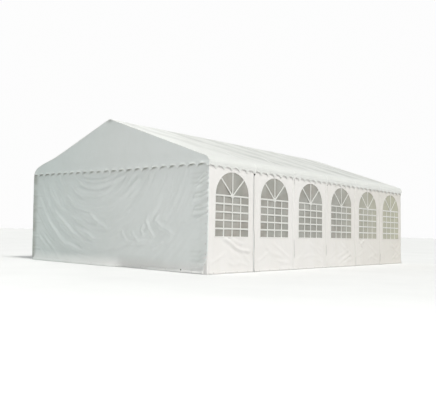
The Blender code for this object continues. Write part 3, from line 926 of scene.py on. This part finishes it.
def gable_relief(x, z, side, shown):
    """Outward offset of an end wall's cloth above its foot."""
    half = GABLE_WALL_HALF
    seed = 70 if shown else 90
    edge = half - np.abs(x)
    off = 0.022 * noise(x * 0.45, z * 0.6, seed) * step(0, 0.5, edge)
    off += 0.008 * noise(x * 1.4 - z * 0.8, z * 1.1, seed + 1) * step(0, 0.3, edge)
    off += 0.0022 * noise(x * 8.0, z * 7.0, seed + 2)
    hand = -side
    reach = np.hypot(hand * x - SAG_CENTRE[0], z - SAG_CENTRE[1])
    turn = np.arctan2(z - SAG_CENTRE[1], hand * x - SAG_CENTRE[0])
    slack = step(1.6, -0.4, hand * x) * step(0.3, 0.7, edge) * step(1.2, 1.7, reach)
    arcs = 0.02 * noise(reach / 0.115, turn * 2.4, seed + 3)
    arcs += 0.009 * noise(reach / 0.06, turn * 4.0, seed + 4)
    off += arcs * (0.38 + 0.62 * slack) * step(0, 0.25, edge)
    if shown:
        off = add_folds(off, x, z, GABLE_FOLDS, 0.22, 1.2)
        # Puckers where the right edge is pulled to the post
        for zz, hh in PUCKERS:
            r = noise(zz * 7.3, 0.2, 68)
            tail = (half - 0.48 - 0.12 * r, zz - 0.15 + 0.07 * r)
            path = [(half + 0.02, zz + 0.01), (half - 0.2, zz - 0.05), tail]
            off += fold(x, z, path, 0.036 + 0.012 * r, 0.036 * hh * (0.8 + 0.5 * r), 0.12)
        # Small ones along the left edge
        for zz in (2.55, 2.2, 1.8, 1.3, 0.8, 0.4):
            path = [(-half - 0.02, zz), (-half + 0.22, zz - 0.01), (-half + 0.5, zz - 0.03)]
            off += fold(x, z, path, 0.03, 0.008, 0.12)
    else:
        for path, width, height in GABLE_FOLDS[1::2]:
            path = [(0.3 - 0.85 * a, b) for a, b in path]
            off += fold(x, z, path, width, 1.1 * height, 0.22)
    # Behind the valance it lies close to the rail
    return off - step(2.58, 2.68, z) * np.maximum(off - 0.01, 0)


def gable_painted_shade(x, z, side, shown):
    """How much painted shade darkens an end wall's cloth."""
    # Painted shadow on the cloth just below the valance's tongues and a little beside them
    notch = gable_notch(x, side)
    u = gable_count(x - 0.06 * side)
    below = z - scallop(u, -side, notch - GABLE_WAVE, notch)
    dirt_and_shade = 0.9 * step(-0.055, -0.015, below) * long_flank(u, -side)
    if not shown:
        return dirt_and_shade
    # Painted shade in a faint band at the right edge, a strip at the left one, beside the puckers and
    # over the foot's middle
    band = step(3.62, 3.74, x) * step(3.95, 3.86, x)
    dirt_and_shade += 0.13 * band * (0.8 + 0.3 * noise(z * 2.5, 0.7, 69))
    strip = 0.62 + 0.25 * noise(z * 2.5, 0.2, 71) + 0.2 * noise(z * 9, 0.6, 72)
    dirt_and_shade += step(-3.66, -3.9, x) * strip
    tails = step(3.26, 3.5, x) * step(3.84, 3.7, x)
    for zz, hh in PUCKERS:
        dirt_and_shade += 0.22 * hh * bell(z - zz, -0.04, 0.035) * tails
    return dirt_and_shade + 0.12 * step(0.45, 0.22, z) * step(0.35, 0.75, x) * step(2.6, 2.2, x)


def build_gable_wall(name, side, shown):
    """An end wall with its hem and eyelets; the front one follows the photograph."""
    half = GABLE_WALL_HALF
    # Beyond the corner posts the cloth is tucked in by a few points
    tuck = np.array([0.085, 0.05, 0.02])
    across, up = (341, 131) if shown else (241, 101)
    us = np.pad(np.linspace(-1, 1, across), len(tuck), mode="edge")
    ins = np.concatenate([tuck, np.zeros(across), tuck[::-1]])[None, :]
    u, w = np.meshgrid(us, np.linspace(0, 1, up))
    x = u * half
    z = WALL_FOOT + (GABLE_WALL_TOP - WALL_FOOT) * w
    edge = half - np.abs(x)
    off = gable_relief(x, z, side, shown)
    # The hem turns out on the ground, broadly on the front wall's left half
    if shown:
        flap = step(0.8, 0.15, x)
        turn = 0.22 * flap * step(0.0, 0.35, edge) - 0.05 * (1 - flap) * step(3.1, 2.6, x)
        turn = turn * (1 + 0.15 * noise(x * 1.3, 0.3, 64))
        tall = 0.36
    else:
        flap = 0
        turn = 0.05 + 0.02 * noise(x * 0.8, 0.2, 65)
        tall = 0.12
    low = np.clip(1 - z / tall, 0, 1)
    off = off * (1 - 0.7 * low) + turn * low ** (1.3 + 0.8 * flap)
    shift = 0 * x
    if shown:
        lip = step(1.3, 2.0, x) * (0.75 + 0.4 * noise(x * 3.1, 0.6, 67))
        off += 0.085 * lip * np.clip(1 - z / 0.085, 0, 1)
        pull = step(0.6, 0.0, z) * (1 - step(0, 0.5, half - x))
        shift -= 0.125 * pull
        lean = 0.002 + 0.036 * z + 0.008 * noise(z * 2.0, 0.4, 66)
        shift -= lean * (1 - step(0, 0.4, half + x))
        z += 0.01 * step(2.6, 3.9, x) * (1 - w)
    sag = 0.018 * (0.5 - 0.5 * np.cos(2 * pi * (x + half) / GATHER))
    sag = sag * step(GABLE_WALL_TOP - 0.12, GABLE_WALL_TOP, z) + 0.012 * step(2.6, GABLE_WALL_TOP, z)
    dirt_and_shade = gable_painted_shade(x, z, side, shown)
    grid = np.stack([x + shift, side * (WALL_Y + 0.001 + off - ins), z - sag], 2)
    faces = grid_faces(grid, side > 0)
    item = make(name + "_cloth", "gable_cloth", gable_cloth, grid, faces, dirt_and_shade)
    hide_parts(name)
    border = hem(name + "_hem", "gable_cloth", gable_cloth, grid[:4, 3:-3], (0, 0, 1.5))
    places = [(x0, 0.04) for x0 in np.linspace(-3.5, 3.5, 8)]
    places += [(hand * 3.9, z0) for hand in (-1, 1) for z0 in np.arange(0.25, 2.6, 0.26)]
    rings = eyelets(name + "_eyelets", grid, places, 1, side)


def build_corner_flap():
    """A strip of cloth round the foot of the front right post, seen where the walls gape."""
    post_x, post_y, radius = 3.93, -5.93, 0.0318
    plan = [(3.72, -5.95), (3.8, -5.957), (3.88, -5.9612)]
    for a in np.radians(np.linspace(-90, 0, 13)):
        plan.append((post_x + radius * cos(a), post_y + radius * sin(a)))
    plan += [(3.96, -5.88), (3.959, -5.84), (3.955, -5.78)]
    plan = np.array(plan)
    grid = [np.column_stack([plan, np.full(len(plan), z)]) for z in np.linspace(0.006, 0.66, 24)]
    item = make("front_right_corner_flap", "wall_cloth", wall_cloth, grid, grid_faces(grid))


build_roof()
build_gable_top("front_gable_top", -1, 1)
build_gable_top("back_gable_top", 1, 2)
build_gable_wall("front_gable_wall", -1, True)
build_gable_wall("back_gable_wall", 1, False)
build_corner_flap()
# A dark peg head through the loop at the front wall's foot
make("front_gable_wall_peg", "gable_cloth", dark_rubber, *ball((3.14, -6.055, 0.08), 0.017))
for n in range(6):
    for side in (-1, 1):
        build_side_panel(n, side)
for j in range(1, 6):
    for side in (-1, 1):
        build_joint(j, side)
        build_tie(j, side)

for name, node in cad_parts.items():
    if name.startswith("portal_frame") or name.endswith("_rail"):
        node.data.materials.clear()
        node.data.materials.append(steel)

# Floor, light and camera
FAR = 400
mesh = bpy.data.meshes.new("floor")
mesh.from_pydata([(-FAR, -FAR, 0), (FAR, -FAR, 0), (FAR, FAR, 0), (-FAR, FAR, 0)], [], [(0, 1, 2, 3)])
mesh.materials.append(solid_material("floor_look", (0.86, 0.86, 0.86), 0.9, 0.0, 0.3, 0.0))
floor = bpy.data.objects.new("floor", mesh)
bpy.context.scene.collection.objects.link(floor)

# The sky lights the tent softly, but the camera sees a plain pale backdrop
scene = bpy.context.scene
world = bpy.data.worlds.new("studio")
scene.world = world
world.use_nodes = True
tree = world.node_tree
background = tree.nodes["Background"]
fill(tree, background, {"Color": (0.95, 1.0, 0.99, 1), "Strength": 0.42})
backdrop = put(tree, "ShaderNodeBackground", {"Color": (1, 1, 1, 1), "Strength": 0.98})
links = {"Fac": put(tree, "ShaderNodeLightPath").outputs["Is Camera Ray"]}
links[1] = background.outputs["Background"]
links[2] = backdrop.outputs["Background"]
pick = put(tree, "ShaderNodeMixShader", links=links)
tree.links.new(pick.outputs["Shader"], tree.nodes["World Output"].inputs["Surface"])


def lamp(name, direction, energy, colour, soft):
    """A sun lamp; the direction points toward it, and soft is its width in degrees."""
    light = bpy.data.lights.new(name, "SUN")
    light.energy = energy
    light.angle = radians(soft)
    light.color = colour
    item = bpy.data.objects.new(name, light)
    item.rotation_euler = Vector(direction).normalized().to_track_quat("Z", "Y").to_euler()
    scene.collection.objects.link(item)


lamp("key", (0.52, -0.05, 0.8), 2.45, (1.0, 0.985, 0.955), 16)
lamp("rear", (-0.75, 0.35, 0.45), 0.5, (1.0, 1.0, 1.0), 50)

panel = bpy.data.lights.new("soft_panel", "AREA")
panel.shape = "SQUARE"
panel.size = 4.0
panel.energy = 800
panel_item = bpy.data.objects.new("soft_panel", panel)
PANEL_AT, PANEL_TO = Vector((17.0, -19.5, 7.5)), Vector((2.0, -5.0, 1.5))
panel_item.location = PANEL_AT
panel_item.rotation_euler = (PANEL_AT - PANEL_TO).to_track_quat("Z", "Y").to_euler()
scene.collection.objects.link(panel_item)

# The photograph's camera: its place and turn; its focus, centre and frame in pixels; its sensor in mm
CAMERA_AT = (13.44, -17.06, 1.08)
YAW, PITCH, ROLL = radians(-43.37), radians(4.55), radians(1.35)
FOCUS = 576.67
CENTRE = (180.0, 185.0)
WIDE, HIGH = 436, 400
SENSOR = 36
forward = Vector((sin(YAW) * cos(PITCH), cos(YAW) * cos(PITCH), sin(PITCH)))
right = Vector((cos(YAW), -sin(YAW), 0))
up = right.cross(forward)
right, up = cos(ROLL) * right + sin(ROLL) * up, -sin(ROLL) * right + cos(ROLL) * up
turn = Matrix((right, up, -forward)).transposed()
camera_data = bpy.data.cameras.new("camera")
camera_data.sensor_width = SENSOR
camera_data.lens = FOCUS / WIDE * SENSOR
camera_data.shift_x = (WIDE / 2 - CENTRE[0]) / WIDE
camera_data.shift_y = (CENTRE[1] - HIGH / 2) / WIDE
camera_data.clip_end = 1000
camera = bpy.data.objects.new("camera", camera_data)
camera.matrix_world = Matrix.Translation(CAMERA_AT) @ turn.to_4x4()
scene.collection.objects.link(camera)
scene.camera = camera

scene.view_settings.view_transform = "Standard"
scene.view_settings.look = "None"
scene.view_settings.exposure = 0.0
